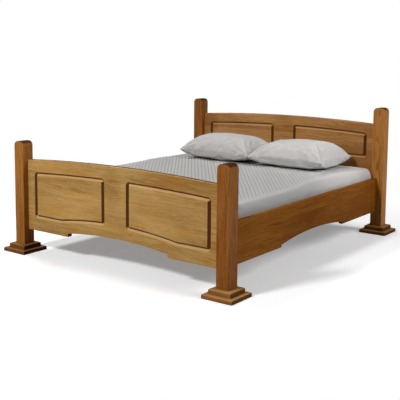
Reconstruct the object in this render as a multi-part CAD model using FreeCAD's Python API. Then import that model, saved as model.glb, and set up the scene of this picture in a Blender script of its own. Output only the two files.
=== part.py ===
import FreeCAD, Part
import math
import os

os.makedirs("parts", exist_ok=True)

# Panel bed of solid oak, all sizes in millimetres.
# X runs across the bed, -Y is the foot, +Y is the head, Z is up.
# The origin lies on the floor, under the middle of the bed.

Vector = FreeCAD.Vector
UP = Vector(0, 0, 1)
ALONG_X = Vector(1, 0, 0)
ALONG_Y = Vector(0, 1, 0)

# mattress and its play inside the frame
mattress_width = 1600.0
mattress_length = 2000.0
mattress_height = 186.0
mattress_crown = 9.0
mattress_corner_radius = 60.0
mattress_top_round = 34.0
mattress_bottom_round = 14.0
mattress_side_play = 13.0
mattress_end_play = 9.0
rest_gap = 0.3

# posts
post_size = 88.0
post_shoulder_radius = 31.0
post_edge_round = 3.0
foot_post_top = 763.0
head_post_top = 954.0

# plinth under each post, two tiers
lower_tier_size = 206.0
lower_tier_height = 24.5
lower_tier_round = 5.0
upper_tier_size = 150.0
upper_tier_height = 30.0
upper_tier_round = 8.0

# boards stand a little in front of the middle of the posts, rails a little inside it
board_thickness = 36.0
board_advance = 2.0
board_edge_round = 4.0
board_top_arc_radius = 11900.0
rail_thickness = 27.0
rail_setback = 3.0
rail_edge_round = 3.0
rail_top = 421.0
rail_bottom = 167.0

# lower edge of footboard and rails: straight ends, a step, then an arch
arch_half_span = 420.0
foot_crown = 664.0
foot_bottom = 155.0
foot_arch_spring = 178.0
foot_arch_crown = 207.0
rail_arch_spring = 182.0
rail_arch_crown = 215.0
head_crown = 853.0
head_bottom = 190.0

# tenons of the boards in the posts
tenon_length = 22.0
tenon_thickness = 20.0
tenon_front_shoulder = 6.0
tenon_end_shoulder = 26.0
fit_clearance = 0.2

# raised fields, each bordered by a routed groove
groove_half_width = 13.0
groove_depth = 11.0
groove_corner_radius = 14.0
cutter_spill = 0.25
field_stile = 103.0
field_edge_inset = 78.5
foot_field_top_inset = 97.0
foot_field_bottom_inset = 98.0
foot_field_arch_inset = 83.0
head_field_top_inset = 86.0
head_field_bottom = 575.0

# slatted base
slat_count = 14
slat_width = 70.0
slat_thickness = 18.0
slat_end_play = 7.0
slat_edge_round = 3.0
slat_top = 322.0
cleat_width = 28.0
cleat_height = 40.0
cleat_end_gap = 6.0
beam_width = 45.0
beam_height = 70.0
leg_size = 50.0
glide_height = 4.0
glide_size = 44.0
leg_dowel_diameter = 12.0
leg_dowel_length = 60.0

# hangers that carry the centre beam on the end boards
hanger_thickness = 2.5
hanger_reach = 40.0
hanger_flange = 24.0
hanger_screw_rise = 16.0

# hook fittings between rails and posts
plate_width = 20.0
plate_height = 132.0
plate_thickness = 3.0
plate_middle_height = 296.0
hook_pitch = 52.0
hook_thickness = 4.0
hook_height = 18.0
hook_drop = 7.0
hook_gap = 0.4
slot_lift = 9.0
pocket_depth = 11.0
hook_play = 2.0
plate_screw_inset = 9.0

# screws: head diameter, shank diameter, length
fitting_screw = (8.0, 4.0, 22.0)
cleat_screw = (8.5, 4.5, 44.0)
cleat_screw_count = 7
slat_screw = (7.5, 3.5, 34.0)
slat_screw_inset = 17.0
plinth_screw = (11.0, 6.0, 92.0)
plinth_screw_offset = 20.0
screw_play = 0.15

# pillows
pillow_length = 700.0
pillow_width = 500.0
pillow_rise = 104.0
pillow_sag = 66.0
pillow_flat = 7.0
pillow_seam = 5.0
pillow_draw_in = 20.0
pillow_end_bluntness = 2.6
pillow_side_bluntness = 0.62
pillow_trim = 1.0
pillow_sections = 11

# how far each pillow lies aside from the middle and down from the headboard, and its turn
left_pillow_aside = 338.0
left_pillow_down = 361.0
left_pillow_turn = -1.0
right_pillow_aside = 374.0
right_pillow_down = 317.0
right_pillow_turn = 3.0

# places worked out from the sizes above
rail_inset = rail_setback + rail_thickness
post_x = mattress_width / 2 + mattress_side_play + rail_inset
post_y = mattress_length / 2 + mattress_end_play + board_thickness / 2
half_post = post_size / 2
board_half_length = post_x - half_post
rail_half_length = post_y - half_post
rail_outer = post_x - rail_setback
rail_inner = rail_outer - rail_thickness
rail_middle = rail_outer - rail_thickness / 2
foot_front = -post_y - board_advance
foot_back = foot_front + board_thickness
head_front = post_y - board_advance
head_back = head_front + board_thickness
post_foot = lower_tier_height + upper_tier_height
cleat_half_length = rail_half_length - cleat_end_gap
mattress_middle = (foot_back + head_front) / 2
slat_bottom = slat_top - slat_thickness
beam_bottom = slat_bottom - beam_height
hanger_bottom = beam_bottom - hanger_thickness
hanger_half_width = beam_width / 2 + fit_clearance + hanger_thickness


def polar(centre, radius, angle):
    """Point in the XZ plane, as an (x, z) pair."""
    return (centre[0] + radius * math.cos(angle), centre[1] + radius * math.sin(angle))


def box(x0, x1, y0, y1, z0, z1):
    return Part.makeBox(x1 - x0, y1 - y0, z1 - z0, Vector(x0, y0, z0))


def group(solids):
    return Part.makeCompound(solids)


def save(name, shape):
    shape.exportStep("parts/" + name + ".step")


def mirrored_x(shape):
    return shape.mirror(Vector(0, 0, 0), ALONG_X)


def mirrored_y(shape):
    return shape.mirror(Vector(0, 0, 0), ALONG_Y)


def arc_radius(half_span, rise):
    """Radius of the circle through the ends and the crown of an arch."""
    return (half_span ** 2 + rise ** 2) / (2 * rise)


def edges_where(shape, test):
    return [edge for edge in shape.Edges if test(edge)]


def lies_on_plane_y(edge, y):
    bounds = edge.BoundBox
    return abs(bounds.YMin - y) < 0.01 and abs(bounds.YMax - y) < 0.01


# ---------------------------------------------------------------- screws

def screw(sizes, tip_direction, head_point, play=0.0):
    """Countersunk screw, or its hole when play is given."""
    head_diameter, shank_diameter, length = sizes
    head_radius = head_diameter / 2 + play
    shank_radius = shank_diameter / 2 + play
    cone_depth = (head_diameter - shank_diameter) / 2
    outline = [
        Vector(0, 0, 0),
        Vector(head_radius, 0, 0),
        Vector(shank_radius, 0, cone_depth),
        Vector(shank_radius, 0, length - shank_radius + play),
        Vector(0, 0, length + play),
        Vector(0, 0, 0),
    ]
    face = Part.Face(Part.makePolygon(outline))
    solid = face.revolve(Vector(0, 0, 0), UP, 360)
    solid.Placement = FreeCAD.Placement(head_point, FreeCAD.Rotation(UP, tip_direction))
    return solid


def screws(sizes, places):
    return group([screw(sizes, direction, point) for direction, point in places])


def drilled(shape, sizes, places):
    """The shape with a hole for each screw that reaches it."""
    holes = [screw(sizes, direction, point, screw_play) for direction, point in places]
    near = [hole for hole in holes if hole.BoundBox.intersect(shape.BoundBox)]
    return shape.cut(near) if near else shape


def plinth_screw_places():
    places = []
    for side in (-1, 1):
        for end in (-1, 1):
            for offset in (-plinth_screw_offset, plinth_screw_offset):
                places.append((UP, Vector(side * post_x + offset, end * post_y + offset, 0)))
    return places


def slat_middles():
    last = cleat_half_length - slat_width / 2
    pitch = 2 * last / (slat_count - 1)
    return [pitch * number - last for number in range(slat_count)]


def slat_screw_places():
    x = rail_inner - slat_end_play - slat_screw_inset
    return [(-UP, Vector(side * x, y, slat_top)) for y in slat_middles() for side in (-1, 1)]


def cleat_screw_places():
    """Screws between the slats, so that they miss the slat screws."""
    middles = slat_middles()
    step = (slat_count - 2) / (cleat_screw_count - 1)
    z = slat_bottom - cleat_height / 2
    places = []
    for number in range(cleat_screw_count):
        low = int(round(number * step))
        y = (middles[low] + middles[low + 1]) / 2
        for side in (-1, 1):
            places.append((ALONG_X * side, Vector(side * (rail_inner - cleat_width), y, z)))
    return places


def fitting_screw_heights():
    reach = plate_height / 2 - plate_screw_inset
    return (plate_middle_height - reach, plate_middle_height + reach)


def fitting_screw_places(into_post):
    """Screws of the hook plates (into the rails) or of the receivers (into the posts)."""
    sign = 1 if into_post else -1
    places = []
    for side in (-1, 1):
        for end in (-1, 1):
            for z in fitting_screw_heights():
                point = Vector(side * rail_middle, end * rail_half_length, z)
                places.append((ALONG_Y * (sign * end), point))
    return places


def hanger_screw_places():
    x = hanger_half_width + hanger_flange / 2
    places = []
    for side in (-1, 1):
        for rise in (hanger_screw_rise, beam_height - hanger_screw_rise):
            z = beam_bottom + rise
            places.append((-ALONG_Y, Vector(side * x, foot_back + hanger_thickness, z)))
            places.append((ALONG_Y, Vector(side * x, head_front - hanger_thickness, z)))
    return places


# ---------------------------------------------------------------- posts and plinths

def post_blank(top):
    """Square post whose two top shoulders are rounded, drawn as its front view."""
    flat = half_post - post_shoulder_radius
    shoulder = top - post_shoulder_radius
    turn = post_shoulder_radius * math.sqrt(0.5)
    edges = []
    edges.append(Part.makeLine(Vector(-half_post, 0, post_foot), Vector(-half_post, 0, shoulder)))
    edges.append(Part.Arc(Vector(-half_post, 0, shoulder),
                          Vector(-flat - turn, 0, shoulder + turn),
                          Vector(-flat, 0, top)).toShape())
    edges.append(Part.makeLine(Vector(-flat, 0, top), Vector(flat, 0, top)))
    edges.append(Part.Arc(Vector(flat, 0, top),
                          Vector(flat + turn, 0, shoulder + turn),
                          Vector(half_post, 0, shoulder)).toShape())
    edges.append(Part.makeLine(Vector(half_post, 0, shoulder), Vector(half_post, 0, post_foot)))
    edges.append(Part.makeLine(Vector(half_post, 0, post_foot), Vector(-half_post, 0, post_foot)))
    blank = Part.Face(Part.Wire(edges)).extrude(Vector(0, post_size, 0))
    blank.translate(Vector(0, -half_post, 0))

    def eased(edge):
        on_face = lies_on_plane_y(edge, -half_post) or lies_on_plane_y(edge, half_post)
        return on_face and edge.BoundBox.ZMax > post_foot + 1

    return blank.makeFillet(post_edge_round, edges_where(blank, eased))


def receiver_pocket(side, end):
    """Recess of the receiver plate in a post, with room behind it for the hooks."""
    x = side * rail_middle
    face = end * rail_half_length
    low = plate_middle_height - plate_height / 2
    high = plate_middle_height + plate_height / 2
    half = plate_width / 2 + fit_clearance
    back = face + end * plate_thickness
    plate_room = box(x - half, x + half, min(face, back), max(face, back),
                     low - fit_clearance, high + fit_clearance)
    deep = face + end * pocket_depth
    room = hook_thickness / 2 + hook_play
    reach = hook_pitch / 2 + hook_height / 2 + slot_lift + hook_play
    hook_room = box(x - room, x + room, min(face, deep), max(face, deep),
                    plate_middle_height - reach, plate_middle_height + reach)
    return plate_room.fuse(hook_room)


def post(side, end):
    top = head_post_top if end > 0 else foot_post_top
    blank = post_blank(top)
    blank.translate(Vector(side * post_x, end * post_y, 0))
    mortise = head_tenon(side, fit_clearance) if end > 0 else foot_tenon(side, fit_clearance)
    blank = blank.cut([mortise, receiver_pocket(side, end)])
    blank = drilled(blank, plinth_screw, plinth_screw_places())
    return drilled(blank, fitting_screw, fitting_screw_places(True))


def tier(side, end, size, low, height, radius):
    block = box(-size / 2, size / 2, -size / 2, size / 2, low, low + height)
    top_edges = edges_where(block, lambda edge: edge.BoundBox.ZMin > low + height - 0.01)
    block = block.makeFillet(radius, top_edges)
    block.translate(Vector(side * post_x, end * post_y, 0))
    return drilled(block, plinth_screw, plinth_screw_places())


def lower_tier(side, end):
    return tier(side, end, lower_tier_size, 0, lower_tier_height, lower_tier_round)


def upper_tier(side, end):
    return tier(side, end, upper_tier_size, lower_tier_height, upper_tier_height, upper_tier_round)


# ---------------------------------------------------------------- boards

def arc_edge(centre, radius, start, end, y):
    """Arc in the XZ plane between two angles, at the given y."""
    angles = (start, (start + end) / 2, end)
    points = [polar(centre, radius, angle) for angle in angles]
    return Part.Arc(*[Vector(x, y, z) for x, z in points]).toShape()


def line_edge(start, end, y):
    return Part.makeLine(Vector(start[0], y, start[1]), Vector(end[0], y, end[1]))


def top_arc(crown):
    """Centre and radius of the arched top edge of a board."""
    return (0.0, crown - board_top_arc_radius), board_top_arc_radius


def top_height(crown, x):
    centre, radius = top_arc(crown)
    return centre[1] + math.sqrt(radius ** 2 - x ** 2)


def step_and_arch(half_length, bottom, spring, crown):
    """Points and arch of a stepped lower edge, from the left end to the right end."""
    radius = arc_radius(arch_half_span, crown - spring)
    left = [(-half_length, bottom), (-arch_half_span, bottom), (-arch_half_span, spring)]
    right = [(arch_half_span, spring), (arch_half_span, bottom), (half_length, bottom)]
    return left, (0.0, crown - radius), radius, right


def board_blank(half_length, crown, lower_edge):
    """Board with an arched top, drawn as its front view and eased along the top."""
    left_top = (-half_length, top_height(crown, half_length))
    right_top = (half_length, top_height(crown, half_length))
    centre, radius = top_arc(crown)
    spread = math.asin(half_length / radius)
    upright = math.pi / 2
    edges = [arc_edge(centre, radius, upright + spread, upright - spread, 0)]
    edges.append(line_edge(right_top, (half_length, lower_edge[-1].Vertexes[-1].Z), 0))
    edges.append(line_edge(left_top, (-half_length, lower_edge[0].Vertexes[0].Z), 0))
    wire = Part.Wire(Part.sortEdges(edges + lower_edge)[0])
    blank = Part.Face(wire).extrude(Vector(0, board_thickness, 0))
    top_edges = edges_where(blank, lambda edge: is_top_arc(edge, radius))
    return blank.makeFillet(board_edge_round, top_edges)


def is_top_arc(edge, radius):
    return isinstance(edge.Curve, Part.Circle) and abs(edge.Curve.Radius - radius) < 0.01


def stepped_edges(half_length, bottom, spring, crown):
    left, centre, radius, right = step_and_arch(half_length, bottom, spring, crown)
    spread = math.asin(arch_half_span / radius)
    upright = math.pi / 2
    edges = [line_edge(left[0], left[1], 0), line_edge(left[1], left[2], 0)]
    edges.append(arc_edge(centre, radius, upright + spread, upright - spread, 0))
    edges.append(line_edge(right[0], right[1], 0))
    edges.append(line_edge(right[1], right[2], 0))
    return edges


def tenon(side, front, low, high, play):
    """Tenon at one end of a board, or its mortise when play is given."""
    shoulder = side * board_half_length
    tip = shoulder + side * (tenon_length + play)
    y = front + tenon_front_shoulder
    return box(min(shoulder, tip), max(shoulder, tip), y - play, y + tenon_thickness + play,
               low - play, high + play)


def foot_tenon(side, play=0.0):
    high = top_height(foot_crown, board_half_length) - tenon_end_shoulder
    return tenon(side, foot_front, foot_bottom + tenon_end_shoulder, high, play)


def head_tenon(side, play=0.0):
    high = top_height(head_crown, board_half_length) - tenon_end_shoulder
    return tenon(side, head_front, head_bottom + tenon_end_shoulder, high, play)


def field_wire(offset, y, crown, top_inset, bottom, arch):
    """Outline of the right-hand field, moved outwards by offset.

    The arc at each corner keeps its centre, so the outlines stay parallel.
    """
    inner = field_stile - offset
    outer = board_half_length - field_edge_inset + offset
    round_radius = groove_corner_radius + offset
    inner_centre = field_stile + groove_corner_radius
    outer_centre = board_half_length - field_edge_inset - groove_corner_radius
    centre, top_radius = top_arc(crown)
    top_radius = top_radius - top_inset
    upright = math.pi / 2

    def corner_under_top(x):
        return (x, centre[1] + math.sqrt((top_radius - groove_corner_radius) ** 2 - x ** 2))

    def top_angle(x):
        return math.acos(x / (top_radius - groove_corner_radius))

    inner_top = corner_under_top(inner_centre)
    outer_top = corner_under_top(outer_centre)
    outer_low = (outer_centre, bottom + groove_corner_radius)
    edges = []
    edges.append(arc_edge(inner_top, round_radius, math.pi, top_angle(inner_centre), y))
    edges.append(arc_edge(centre, top_radius + offset, top_angle(inner_centre), top_angle(outer_centre), y))
    edges.append(arc_edge(outer_top, round_radius, top_angle(outer_centre), 0, y))
    edges.append(line_edge((outer, outer_top[1]), (outer, outer_low[1]), y))
    edges.append(arc_edge(outer_low, round_radius, 0, -upright, y))
    if arch:
        arch_centre, arch_radius = arch
        reach = arch_radius + groove_corner_radius
        inner_low = (inner_centre, arch_centre[1] + math.sqrt(reach ** 2 - inner_centre ** 2))
        lean = math.acos(inner_centre / reach)
        kink_angle = math.asin((bottom - offset - arch_centre[1]) / (arch_radius - offset))
        kink = polar(arch_centre, arch_radius - offset, kink_angle)
        edges.append(line_edge((outer_centre, bottom - offset), kink, y))
        edges.append(arc_edge(arch_centre, arch_radius - offset, kink_angle, lean, y))
        edges.append(arc_edge(inner_low, round_radius, lean - math.pi, -math.pi, y))
    else:
        inner_low = (inner_centre, bottom + groove_corner_radius)
        edges.append(line_edge((outer_centre, bottom - offset), (inner_centre, bottom - offset), y))
        edges.append(arc_edge(inner_low, round_radius, -upright, -math.pi, y))
    edges.append(line_edge((inner, inner_low[1]), (inner, inner_top[1]), y))
    return Part.Wire(edges)


def routed_groove(front, crown, top_inset, bottom, arch):
    """V-shaped groove round one field, as the solid that the router takes away."""
    shape = (crown, top_inset, bottom, arch)
    floor = field_wire(0, front + groove_depth, *shape)
    brim = field_wire(groove_half_width * (1 + cutter_spill), front - groove_depth * cutter_spill, *shape)
    heart = field_wire(-groove_half_width, front, *shape)
    heart_top = field_wire(-groove_half_width, front - groove_depth, *shape)
    outside = Part.makeLoft([brim, floor], True, True)
    field = Part.makeLoft([heart, floor], True, True)
    above_field = Part.makeLoft([heart_top, heart], True, True)
    return outside.cut([field, above_field])


def footboard():
    lower = stepped_edges(board_half_length, foot_bottom, foot_arch_spring, foot_arch_crown)
    board = board_blank(board_half_length, foot_crown, lower)
    board.translate(Vector(0, foot_front, 0))
    arch_radius = arc_radius(arch_half_span, foot_arch_crown - foot_arch_spring)
    arch = ((0.0, foot_arch_crown - arch_radius), arch_radius + foot_field_arch_inset)
    groove = routed_groove(foot_front, foot_crown, foot_field_top_inset,
                           foot_bottom + foot_field_bottom_inset, arch)
    board = board.fuse([foot_tenon(-1), foot_tenon(1)])
    board = board.cut([groove, mirrored_x(groove)])
    return drilled(board, fitting_screw, hanger_screw_places())


def headboard():
    lower = [line_edge((-board_half_length, head_bottom), (board_half_length, head_bottom), 0)]
    board = board_blank(board_half_length, head_crown, lower)
    board.translate(Vector(0, head_front, 0))
    groove = routed_groove(head_front, head_crown, head_field_top_inset, head_field_bottom, None)
    board = board.fuse([head_tenon(-1), head_tenon(1)])
    board = board.cut([groove, mirrored_x(groove)])
    return drilled(board, fitting_screw, hanger_screw_places())


# ---------------------------------------------------------------- rails and fittings

def hook_plate_recess(end):
    """Recess of a hook plate in the end grain of the right rail."""
    face = end * rail_half_length
    back = face - end * plate_thickness
    half = plate_width / 2 + fit_clearance
    reach = plate_height / 2 + fit_clearance
    return box(rail_middle - half, rail_middle + half, min(face, back), max(face, back),
               plate_middle_height - reach, plate_middle_height + reach)


def side_rail(side):
    """Rail drawn as its side view, laid along Y, then moved to its side."""
    edges = stepped_edges(rail_half_length, rail_bottom, rail_arch_spring, rail_arch_crown)
    left_top = (-rail_half_length, rail_top)
    right_top = (rail_half_length, rail_top)
    edges.append(line_edge((rail_half_length, rail_bottom), right_top, 0))
    edges.append(line_edge(right_top, left_top, 0))
    edges.append(line_edge(left_top, (-rail_half_length, rail_bottom), 0))
    rail = Part.Face(Part.Wire(edges)).extrude(Vector(0, rail_thickness, 0))
    long_edges = edges_where(rail, lambda edge: is_long_top(edge))
    rail = rail.makeFillet(rail_edge_round, long_edges)
    rail.rotate(Vector(0, 0, 0), UP, 90)
    rail.translate(Vector(rail_outer, 0, 0))
    rail = rail.cut([hook_plate_recess(-1), hook_plate_recess(1)])
    if side < 0:
        rail = mirrored_x(rail)
    rail = drilled(rail, fitting_screw, fitting_screw_places(False))
    return drilled(rail, cleat_screw, cleat_screw_places())


def is_long_top(edge):
    return edge.BoundBox.ZMin > rail_top - 0.01 and edge.BoundBox.XLength > rail_half_length


def hook_heights():
    return (plate_middle_height - hook_pitch / 2, plate_middle_height + hook_pitch / 2)


def hook_plate(side, end):
    """Steel plate let into the rail end, with two hooks that drop behind the receiver."""
    face = end * rail_half_length
    x = side * rail_middle
    back = face - end * plate_thickness
    low = plate_middle_height - plate_height / 2
    high = plate_middle_height + plate_height / 2
    plate = box(x - plate_width / 2, x + plate_width / 2, min(face, back), max(face, back), low, high)
    grip = face + end * (plate_thickness + hook_gap)
    tip = face + end * (pocket_depth - hook_play)
    half = hook_thickness / 2
    hooks = []
    for z in hook_heights():
        bottom = z - hook_height / 2
        arm = box(x - half, x + half, min(face, tip), max(face, tip), bottom, z + hook_height / 2)
        lip = box(x - half, x + half, min(grip, tip), max(grip, tip), bottom - hook_drop, bottom)
        hooks.append(arm.fuse(lip))
    plate = plate.fuse(hooks).removeSplitter()
    return drilled(plate, fitting_screw, fitting_screw_places(False))


def receiver_plate(side, end):
    """Steel plate let into the post, with a slot for each hook to lift out through."""
    face = end * rail_half_length
    x = side * rail_middle
    back = face + end * plate_thickness
    low = plate_middle_height - plate_height / 2
    high = plate_middle_height + plate_height / 2
    plate = box(x - plate_width / 2, x + plate_width / 2, min(face, back), max(face, back), low, high)
    half = hook_thickness / 2 + hook_gap
    slots = []
    for z in hook_heights():
        bottom = z - hook_height / 2
        slots.append(box(x - half, x + half, face - post_size, face + post_size,
                         bottom, bottom + hook_height + slot_lift))
    plate = plate.cut(slots)
    return drilled(plate, fitting_screw, fitting_screw_places(True))


# ---------------------------------------------------------------- slatted base

def cleat(side):
    """Bearer screwed along the inside of a rail; the slats lie on it."""
    near = side * rail_inner
    far = side * (rail_inner - cleat_width)
    bar = box(min(near, far), max(near, far), -cleat_half_length, cleat_half_length,
              slat_bottom - cleat_height, slat_bottom)
    bar = drilled(bar, cleat_screw, cleat_screw_places())
    return drilled(bar, slat_screw, slat_screw_places())


def slat(middle):
    half = rail_inner - slat_end_play
    board = box(-half, half, middle - slat_width / 2, middle + slat_width / 2, slat_bottom, slat_top)
    long_edges = edges_where(board, lambda edge: is_top_length(edge, half))
    board = board.makeFillet(slat_edge_round, long_edges)
    return drilled(board, slat_screw, slat_screw_places())


def is_top_length(edge, length):
    return edge.BoundBox.XLength > length and edge.BoundBox.ZMin > slat_top - 0.01


def centre_beam():
    half = beam_width / 2
    low = foot_back + hanger_thickness + fit_clearance
    high = head_front - hanger_thickness - fit_clearance
    beam = box(-half, half, low, high, beam_bottom, slat_bottom)
    return beam.cut(leg_dowel(fit_clearance))


def centre_leg():
    half = leg_size / 2
    leg = box(-half, half, -half, half, glide_height, beam_bottom)
    upright = edges_where(leg, lambda edge: edge.BoundBox.ZLength > leg_size)
    leg = leg.makeFillet(slat_edge_round, upright)
    return leg.cut(leg_dowel(fit_clearance))


def leg_dowel(play=0.0):
    low = beam_bottom - leg_dowel_length / 2
    return Part.makeCylinder(leg_dowel_diameter / 2 + play, leg_dowel_length + 2 * play,
                             Vector(0, 0, low - play))


def leg_glide():
    return Part.makeCylinder(glide_size / 2, glide_height)


def beam_hanger(end):
    """Bent steel hanger: a cradle for the beam and two screwed flanges."""
    wall = hanger_half_width
    inner = beam_width / 2 + fit_clearance
    face = foot_back
    cradle = box(-wall, wall, face, face + hanger_reach, hanger_bottom, slat_bottom - fit_clearance)
    seat = box(-inner, inner, face + hanger_thickness, face + 2 * hanger_reach, beam_bottom, slat_top)
    flange = box(-wall - hanger_flange, wall + hanger_flange, face, face + hanger_thickness,
                 hanger_bottom, slat_bottom - fit_clearance)
    hanger = cradle.cut(seat).fuse(flange).removeSplitter()
    if end > 0:
        hanger = mirrored_y(hanger)
        hanger.translate(Vector(0, head_front + foot_back, 0))
    return drilled(hanger, fitting_screw, hanger_screw_places())


# ---------------------------------------------------------------- soft pieces

def crowned_profile(half_width, low, edge_high, crown_high):
    """Face in the XZ plane: flat bottom, upright sides, gently crowned top."""
    corners = [Vector(-half_width, 0, edge_high), Vector(-half_width, 0, low),
               Vector(half_width, 0, low), Vector(half_width, 0, edge_high)]
    edges = [Part.makeLine(corners[number], corners[number + 1]) for number in range(3)]
    edges.append(Part.Arc(corners[3], Vector(0, 0, crown_high), corners[0]).toShape())
    return Part.Face(Part.Wire(edges))


def mattress():
    low = slat_top + rest_gap
    high = low + mattress_height
    across = crowned_profile(mattress_width / 2, low, high - mattress_crown, high)
    across = across.extrude(Vector(0, mattress_length, 0))
    across.translate(Vector(0, -mattress_length / 2, 0))
    along = crowned_profile(mattress_length / 2, low, high - mattress_crown, high)
    along = along.extrude(Vector(0, mattress_width, 0))
    along.rotate(Vector(0, 0, 0), UP, 90)
    along.translate(Vector(mattress_width / 2, 0, 0))
    body = across.common(along)
    corners = edges_where(body, lambda edge: edge.BoundBox.XLength + edge.BoundBox.YLength < 0.01)
    body = body.makeFillet(mattress_corner_radius, corners)
    middle = low + mattress_height / 2
    rim = edges_where(body, lambda edge: is_rim(edge, middle, True))
    body = body.makeFillet(mattress_top_round, rim)
    rim = edges_where(body, lambda edge: is_rim(edge, low + 0.01, False))
    body = body.makeFillet(mattress_bottom_round, rim)
    body.translate(Vector(0, mattress_middle, 0))
    return body


def crown_drop(distance, half_size):
    """How far the crowned top has fallen at a distance from the middle."""
    radius = arc_radius(half_size, mattress_crown)
    return radius - math.sqrt(radius ** 2 - distance ** 2)


def mattress_top_at(x, y):
    drop_across = crown_drop(x, mattress_width / 2)
    drop_along = crown_drop(y - mattress_middle, mattress_length / 2)
    return slat_top + rest_gap + mattress_height - max(drop_across, drop_along)


def is_rim(edge, height, above):
    """Edges of the outline of the top, or of the bottom, of the mattress."""
    bounds = edge.BoundBox
    if above:
        reaches_side = max(abs(bounds.XMin), abs(bounds.XMax)) > mattress_width / 2 - 1
        reaches_end = max(abs(bounds.YMin), abs(bounds.YMax)) > mattress_length / 2 - 1
        return bounds.ZMin > height and (reaches_side or reaches_end)
    return bounds.ZMax < height


def pillow_section(share):
    """Cross-section of a pillow at a share of its half length, in the YZ plane."""
    fullness = (1 - abs(share) ** pillow_end_bluntness) ** pillow_side_bluntness
    half_width = pillow_width / 2 - pillow_draw_in * (1 - share ** 2)
    seam = pillow_seam / 2
    top = seam + (pillow_rise - seam) * fullness + pillow_trim
    bottom = -seam - (pillow_sag - seam) * fullness - pillow_trim
    x = share * pillow_length / 2
    right_low = Vector(x, half_width, -seam)
    right_high = Vector(x, half_width, seam)
    left_low = Vector(x, -half_width, -seam)
    left_high = Vector(x, -half_width, seam)
    edges = [Part.makeLine(right_low, right_high)]
    edges.append(Part.Arc(right_high, Vector(x, 0, top), left_high).toShape())
    edges.append(Part.makeLine(left_high, left_low))
    edges.append(Part.Arc(left_low, Vector(x, 0, bottom), right_low).toShape())
    return Part.Wire(edges)


def pillow(side, aside, down, turn):
    """Pillow with a crown, drawn-in long sides and hollowed short sides."""
    x = side * aside
    y = head_front - down
    half_turns = [number / (pillow_sections - 1) - 0.5 for number in range(pillow_sections)]
    shares = [math.sin(math.pi * half_turn) for half_turn in half_turns]
    body = Part.makeLoft([pillow_section(share) for share in shares], True, False)
    scoop_radius = arc_radius(pillow_width / 2, pillow_draw_in)
    reach = pillow_length / 2 - pillow_draw_in + scoop_radius
    scoops = []
    for side in (-1, 1):
        base = Vector(side * reach, 0, -pillow_width / 2)
        scoops.append(Part.makeCylinder(scoop_radius, pillow_width, base))
    body = body.cut(scoops)
    underside = box(-pillow_length, pillow_length, -pillow_width, pillow_width,
                    -pillow_sag - pillow_width, -pillow_sag + pillow_flat)
    body = body.cut(underside)
    body.rotate(Vector(0, 0, 0), UP, turn)
    rest = mattress_top_at(x, y - pillow_patch_half_width()) + rest_gap
    body.translate(Vector(x, y, rest + pillow_sag - pillow_flat))
    return body


def pillow_patch_half_width():
    """Half width of the flat patch that a pillow rests on, at its middle."""
    radius = arc_radius(pillow_width / 2 - pillow_draw_in, pillow_sag + pillow_trim - pillow_seam / 2)
    return math.sqrt(radius ** 2 - (radius - pillow_flat - pillow_trim) ** 2)


# ---------------------------------------------------------------- all pieces

SIDES = {"left": -1, "right": 1}
ENDS = {"foot": -1, "head": 1}

for end_name, end in ENDS.items():
    for side_name, side in SIDES.items():
        corner = end_name + "_" + side_name
        save(corner + "_post", post(side, end))
        save(corner + "_plinth_lower", lower_tier(side, end))
        save(corner + "_plinth_upper", upper_tier(side, end))
        save(corner + "_hook_plate", hook_plate(side, end))
        save(corner + "_receiver_plate", receiver_plate(side, end))
    save(end_name + "_beam_hanger", beam_hanger(end))

save("footboard", footboard())
save("headboard", headboard())

for side_name, side in SIDES.items():
    save(side_name + "_rail", side_rail(side))
    save(side_name + "_cleat", cleat(side))

for number, middle in enumerate(slat_middles(), 1):
    save("slat_%02d" % number, slat(middle))

save("centre_beam", centre_beam())
save("centre_leg", centre_leg())
save("centre_leg_dowel", leg_dowel())
save("centre_leg_glide", leg_glide())

save("plinth_screws", screws(plinth_screw, plinth_screw_places()))
save("receiver_screws", screws(fitting_screw, fitting_screw_places(True)))
save("hook_plate_screws", screws(fitting_screw, fitting_screw_places(False)))
save("hanger_screws", screws(fitting_screw, hanger_screw_places()))
save("cleat_screws", screws(cleat_screw, cleat_screw_places()))
save("slat_screws", screws(slat_screw, slat_screw_places()))

save("mattress", mattress())
save("left_pillow", pillow(-1, left_pillow_aside, left_pillow_down, left_pillow_turn))
save("right_pillow", pillow(1, right_pillow_aside, right_pillow_down, right_pillow_turn))
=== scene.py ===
"""Panel bed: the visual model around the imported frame. Metres; X across, -Y foot, +Z up."""

import math

import bpy
import numpy as np
from mathutils import Matrix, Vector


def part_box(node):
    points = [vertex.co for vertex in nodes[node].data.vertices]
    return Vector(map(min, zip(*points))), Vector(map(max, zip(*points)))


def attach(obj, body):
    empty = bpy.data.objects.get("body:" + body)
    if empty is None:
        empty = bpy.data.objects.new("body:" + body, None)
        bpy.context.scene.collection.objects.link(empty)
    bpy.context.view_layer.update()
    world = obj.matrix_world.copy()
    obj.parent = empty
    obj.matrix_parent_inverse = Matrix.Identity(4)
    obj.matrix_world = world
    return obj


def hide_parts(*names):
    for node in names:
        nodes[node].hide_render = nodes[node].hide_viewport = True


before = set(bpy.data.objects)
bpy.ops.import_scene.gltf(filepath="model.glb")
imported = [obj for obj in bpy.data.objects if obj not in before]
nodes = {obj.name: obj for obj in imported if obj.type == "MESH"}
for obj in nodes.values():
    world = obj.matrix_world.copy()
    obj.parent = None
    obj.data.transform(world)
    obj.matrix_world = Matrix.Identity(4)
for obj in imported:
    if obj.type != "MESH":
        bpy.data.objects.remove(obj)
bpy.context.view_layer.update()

# Camera, fitted to the photograph
CAMERA_PLACE = (3.2493, -4.5853, 1.3925)
CAMERA_YAW = 0.66115
CAMERA_PITCH = 0.11592
CAMERA_ROLL = 0.00393
CAMERA_SENSOR = 36.0
CAMERA_LENS = 70.59
CAMERA_SHIFT = (0.059, -0.1505)


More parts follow.
